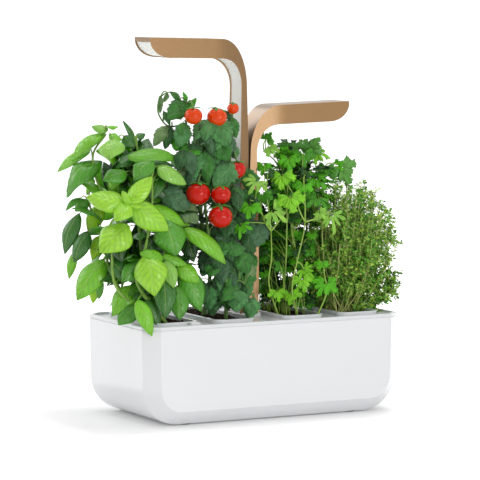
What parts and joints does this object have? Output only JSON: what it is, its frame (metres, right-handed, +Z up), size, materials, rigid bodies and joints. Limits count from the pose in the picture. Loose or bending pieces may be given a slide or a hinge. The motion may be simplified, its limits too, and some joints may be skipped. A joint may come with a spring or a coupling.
{
  "type": "countertop hydroponic garden",
  "caption": "Countertop hydroponic garden: white water reservoir, lift-off tray with plant pods and herbs, and height-adjustable copper lamp arms on a central mast.",
  "frame": {"origin": "middle of the reservoir's footprint, on the table it stands on", "axes": "+X along the long side to the right, +Y to the back, +Z up"},
  "size_m": [0.432, 0.1712, 0.4304],
  "materials": {
    "gloss_white": "gloss",
    "tray_white": "satin gloss",
    "liner_white": "satin",
    "copper_paint": "satin metallic paint",
    "diffuser": "frosted",
    "circuit_board": "matt",
    "led_yellow": "gloss",
    "rubber": "matt",
    "screw_steel": "plain",
    "black_plastic": "matt",
    "float_foam": "matt",
    "wick_felt": "felt",
    "soil": "crumbly",
    "basil_leaf": "satin leaf",
    "tomato_leaf": "downy leaf",
    "tomato_skin": "gloss skin",
    "parsley_leaf": "satin leaf",
    "thyme_leaf": "matt leaf"
  },
  "bodies": {
    "base": {"reservoir": "gloss_white", "rubber_feet": "rubber"},
    "tray": {"planting_tray": "tray_white", "mast_socket": "tray_white", "friction_pads": "rubber", "socket_screws": "screw_steel", "control_housing": "tray_white", "control_board": "circuit_board", "power_inlet": "black_plastic", "pod_case_1": "tray_white", "growing_medium_1": "soil", "wick_1": "wick_felt", "pod_case_2": "tray_white", "growing_medium_2": "soil", "wick_2": "wick_felt", "pod_case_3": "tray_white", "growing_medium_3": "soil", "wick_3": "wick_felt", "pod_case_4": "tray_white", "growing_medium_4": "soil", "wick_4": "wick_felt", "basil_plant": "basil_leaf", "tomato_plant": "tomato_leaf", "tomato_fruits": "tomato_skin", "parsley_plant": "parsley_leaf", "thyme_plant": "thyme_leaf"},
    "left_arm": {"left_arm_shell": "copper_paint", "left_arm_liner": "liner_white", "left_diffuser": "diffuser", "left_led_board": "circuit_board", "left_led_chips": "led_yellow"},
    "right_arm": {"right_arm_shell": "copper_paint", "right_arm_liner": "liner_white", "right_diffuser": "diffuser", "right_led_board": "circuit_board", "right_led_chips": "led_yellow"},
    "level": {"level_float": "float_foam", "level_stem": "tray_white", "level_cap": "tray_white"},
    "button": {"power_button": "black_plastic"}
  },
  "joints": [
    {"name": "tray_lift", "type": "slide", "parent": "base", "child": "tray", "axis": [0, 0, 1], "range_m": [0, 0.1]},
    {"name": "left_arm_height", "type": "slide", "parent": "tray", "child": "left_arm", "axis": [0, 0, 1], "range_m": [-0.03, 0]},
    {"name": "right_arm_height", "type": "slide", "parent": "tray", "child": "right_arm", "axis": [0, 0, 1], "range_m": [0, 0.076]},
    {"name": "level_travel", "type": "slide", "parent": "tray", "child": "level", "axis": [0, 0, 1], "range_m": [0, 0.012]},
    {"name": "button_press", "type": "slide", "parent": "tray", "child": "button", "axis": [0, -1, 0], "range_m": [0, 0.001], "stiffness_N_per_m": 800, "springref_m": -0.001}
  ]
}
